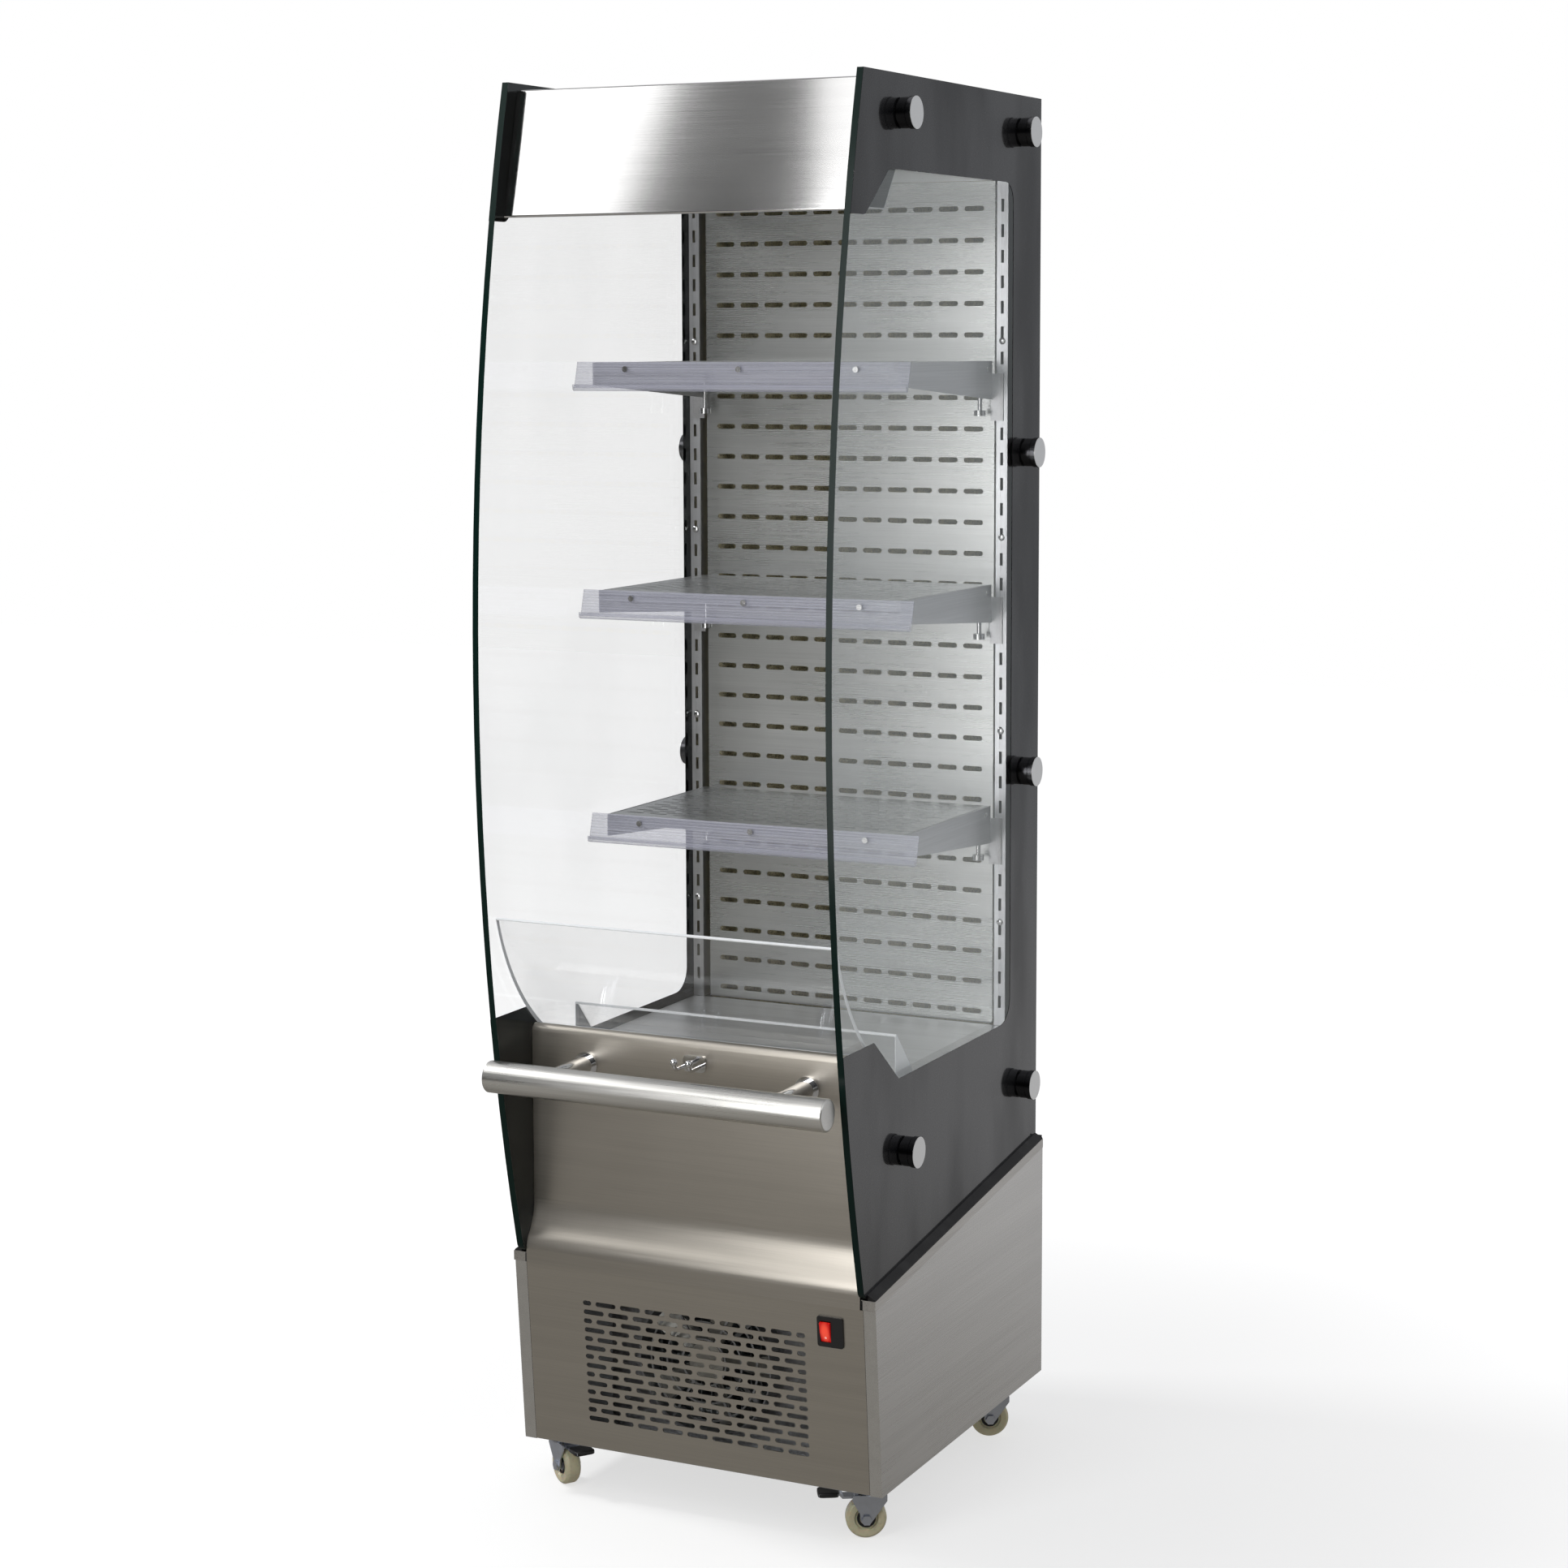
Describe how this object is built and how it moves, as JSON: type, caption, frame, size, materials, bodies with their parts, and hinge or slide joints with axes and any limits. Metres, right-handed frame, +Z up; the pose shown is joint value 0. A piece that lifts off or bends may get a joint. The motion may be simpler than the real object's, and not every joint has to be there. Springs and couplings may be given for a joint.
{
  "type": "refrigerated display case",
  "caption": "Upright open-front refrigerated display case on casters, with curved glass sides, shelves, a front guard, a night blind and a machine bay below.",
  "frame": {"origin": "on the floor, under the middle of the case's bounding box", "axes": "+X to the right seen from the front, +Y from the front to the back, +Z up"},
  "size_m": [0.514, 0.6428, 1.745],
  "materials": {
    "glass": "clear, dark green edges",
    "black_print": "glossy fired enamel",
    "bolt_caps": "polished with satin faces",
    "galvanised": "dull zinc sheet",
    "side_skin": "fine horizontal brushing",
    "trim_steel": "satin",
    "rubber": "matte",
    "front_steel": "brushed, slightly warm",
    "black_plastic": "fine grain",
    "bar_steel": "bright brushed",
    "chrome": "polished",
    "canopy_steel": "bright brushed",
    "interior_steel": "satin",
    "lamp_white": "diffusing",
    "blind_fabric": "woven, metallised",
    "aluminium": "anodised",
    "foam": "cellular",
    "back_steel": "brushed",
    "upright_steel": "bright",
    "acrylic": "clear, polished edges",
    "coil": "thin fins",
    "fan_plastic": "moulded",
    "fan_metal": "pressed blades",
    "black_enamel": "semi-gloss",
    "red_rocker": "translucent, lit",
    "zinc": "bright zinc, bluish",
    "fasteners": "satin",
    "shelf_steel": "satin",
    "bracket_steel": "satin grey",
    "clear_strip": "clear with a violet tint",
    "caster_tread": "translucent cream"
  },
  "bodies": {
    "cabinet": {"side_glass_right": "glass", "side_glass_left": "glass", "glass_print": "black_print", "glass_bolts": "bolt_caps", "chassis_pan": "galvanised", "side_panel_right": "side_skin", "side_panel_left": "side_skin", "cap_rails": "trim_steel", "glass_gaskets": "rubber", "lower_front_panel": "front_steel", "rear_service_panel": "galvanised", "power_inlet": "black_plastic", "upper_front_panel": "front_steel", "handle_bar": "bar_steel", "handle_posts": "chrome", "blind_hook": "chrome", "canopy_cover": "canopy_steel", "top_panel": "canopy_steel", "canopy_underside": "interior_steel", "canopy_lamp": "lamp_white", "rear_panel": "galvanised", "insulation_back": "foam", "back_air_panel": "back_steel", "uprights": "upright_steel", "front_guard": "acrylic", "well_liner": "interior_steel", "deck_tray": "interior_steel", "deck_fence": "acrylic", "evaporator_coil": "coil", "evaporator_fan_frame": "galvanised", "condenser_shroud": "galvanised", "condenser_coil": "coil", "compressor": "black_enamel", "switch_housing": "black_plastic", "caster_plates": "zinc", "shelf_fasteners": "fasteners", "shelf_top": "shelf_steel", "shelf_top_brackets": "bracket_steel", "shelf_top_price_strip": "clear_strip", "shelf_middle": "shelf_steel", "shelf_middle_brackets": "bracket_steel", "shelf_middle_price_strip": "clear_strip", "shelf_bottom": "shelf_steel", "shelf_bottom_brackets": "bracket_steel", "shelf_bottom_price_strip": "clear_strip"},
    "blind_bar": {"blind_bar": "aluminium"},
    "blind_roller": {"blind_roller": "blind_fabric"},
    "condenser_fan": {"condenser_fan": "fan_metal"},
    "evaporator_fan": {"evaporator_fan": "fan_plastic"},
    "switch_rocker": {"switch_rocker": "red_rocker"},
    "fork_front_right": {"caster_fork_front_right": "zinc"},
    "wheel_front_right": {"caster_wheel_front_right": "caster_tread"},
    "brake_front_right": {"caster_brake_front_right": "zinc"},
    "fork_front_left": {"caster_fork_front_left": "zinc"},
    "wheel_front_left": {"caster_wheel_front_left": "caster_tread"},
    "brake_front_left": {"caster_brake_front_left": "zinc"},
    "fork_rear_right": {"caster_fork_rear_right": "zinc"},
    "wheel_rear_right": {"caster_wheel_rear_right": "caster_tread"},
    "fork_rear_left": {"caster_fork_rear_left": "zinc"},
    "wheel_rear_left": {"caster_wheel_rear_left": "caster_tread"}
  },
  "joints": [
    {"name": "blind_pull", "type": "slide", "parent": "cabinet", "child": "blind_bar", "axis": [0, -0.0764, -0.9971], "range_m": [0, 0.9], "stiffness_N_per_m": 6, "springref_m": -1},
    {"name": "blind_roll", "type": "hinge", "parent": "cabinet", "child": "blind_roller", "pos_m": [0, -0.2065, 1.622], "axis": [1, 0, 0], "range_deg": [0, 3040]},
    {"name": "condenser_fan_spin", "type": "hinge", "parent": "cabinet", "child": "condenser_fan", "pos_m": [-0.015, -0.135, 0.182], "axis": [0, 1, 0], "continuous": true},
    {"name": "evaporator_fan_spin", "type": "hinge", "parent": "cabinet", "child": "evaporator_fan", "pos_m": [0, 0.06, 0.475], "axis": [0, 1, 0], "continuous": true},
    {"name": "switch_rock", "type": "hinge", "parent": "cabinet", "child": "switch_rocker", "pos_m": [0.181, -0.21103, 0.26708], "axis": [1, 0, 0], "range_deg": [-24, 0]},
    {"name": "swivel_front_right", "type": "hinge", "parent": "cabinet", "child": "fork_front_right", "pos_m": [0.217, -0.154, 0.058], "axis": [0, 0, 1], "continuous": true},
    {"name": "wheel_front_right", "type": "hinge", "parent": "fork_front_right", "child": "wheel_front_right", "pos_m": [0.20834, -0.159, 0.025], "axis": [0.5, -0.866, 0], "continuous": true},
    {"name": "brake_front_right", "type": "hinge", "parent": "fork_front_right", "child": "brake_front_right", "pos_m": [0.19795, -0.165, 0.0515], "axis": [0.5, -0.866, 0], "range_deg": [0, 12]},
    {"name": "swivel_front_left", "type": "hinge", "parent": "cabinet", "child": "fork_front_left", "pos_m": [-0.217, -0.154, 0.058], "axis": [0, 0, 1], "continuous": true},
    {"name": "wheel_front_left", "type": "hinge", "parent": "fork_front_left", "child": "wheel_front_left", "pos_m": [-0.20881, -0.15974, 0.025], "axis": [0.5736, 0.8192, 0], "continuous": true},
    {"name": "brake_front_left", "type": "hinge", "parent": "fork_front_left", "child": "brake_front_left", "pos_m": [-0.19898, -0.16662, 0.0515], "axis": [0.5736, 0.8192, 0], "range_deg": [0, 12]},
    {"name": "swivel_rear_right", "type": "hinge", "parent": "cabinet", "child": "fork_rear_right", "pos_m": [0.217, 0.236, 0.058], "axis": [0, 0, 1], "continuous": true},
    {"name": "wheel_rear_right", "type": "hinge", "parent": "fork_rear_right", "child": "wheel_rear_right", "pos_m": [0.20834, 0.231, 0.025], "axis": [0.5, -0.866, 0], "continuous": true},
    {"name": "swivel_rear_left", "type": "hinge", "parent": "cabinet", "child": "fork_rear_left", "pos_m": [-0.217, 0.236, 0.058], "axis": [0, 0, 1], "continuous": true},
    {"name": "wheel_rear_left", "type": "hinge", "parent": "fork_rear_left", "child": "wheel_rear_left", "pos_m": [-0.22566, 0.241, 0.025], "axis": [-0.5, -0.866, 0], "continuous": true}
  ],
  "couplings": [
    {"joint": "blind_roll", "follows": "blind_pull", "rad_per_m": 58.824}
  ]
}
